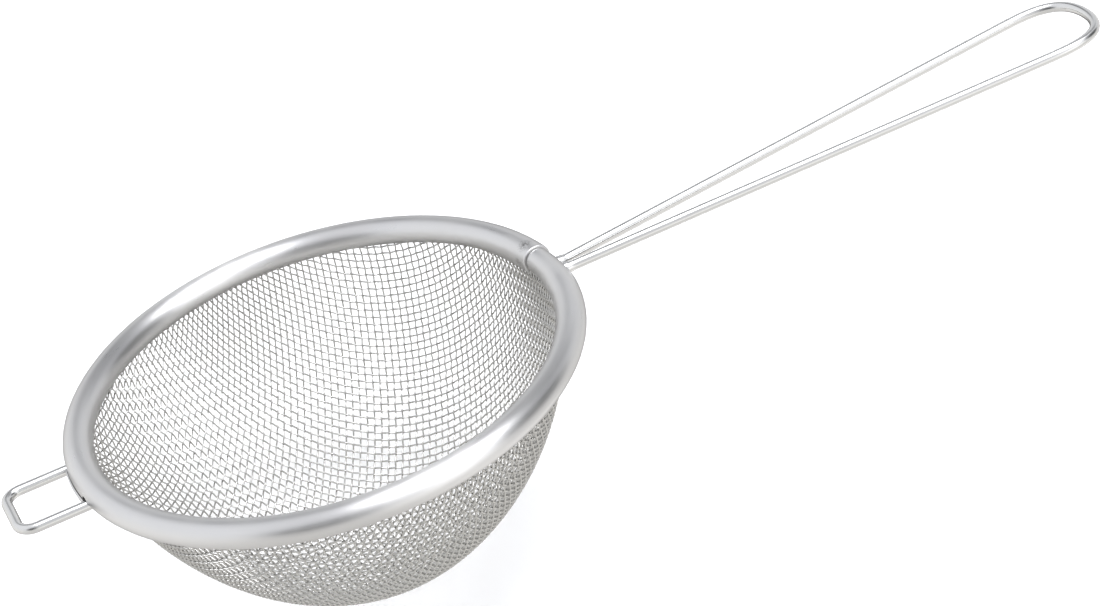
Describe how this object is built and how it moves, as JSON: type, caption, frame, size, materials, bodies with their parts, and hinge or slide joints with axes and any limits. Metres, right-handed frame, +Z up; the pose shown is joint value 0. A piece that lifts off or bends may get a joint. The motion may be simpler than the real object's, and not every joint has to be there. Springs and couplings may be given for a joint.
{
  "type": "tea strainer",
  "caption": "Wire-cloth bowl held in a rolled steel rim, with a looped wire handle and a bent wire rest opposite it.",
  "frame": {"origin": "middle of the small flat at the bottom of the bowl", "axes": "+Z up along the bowl's axis, out of its mouth; +X from the bowl towards the handle's end"},
  "size_m": [0.1838, 0.08, 0.0402],
  "materials": {
    "rim_steel": "satin",
    "cloth_steel": "satin",
    "wire_steel": "gloss"
  },
  "bodies": {
    "root": {"rim_band": "rim_steel", "mesh_bowl": "cloth_steel", "handle_wire": "wire_steel", "rest_wire": "wire_steel"}
  },
  "joints": []
}
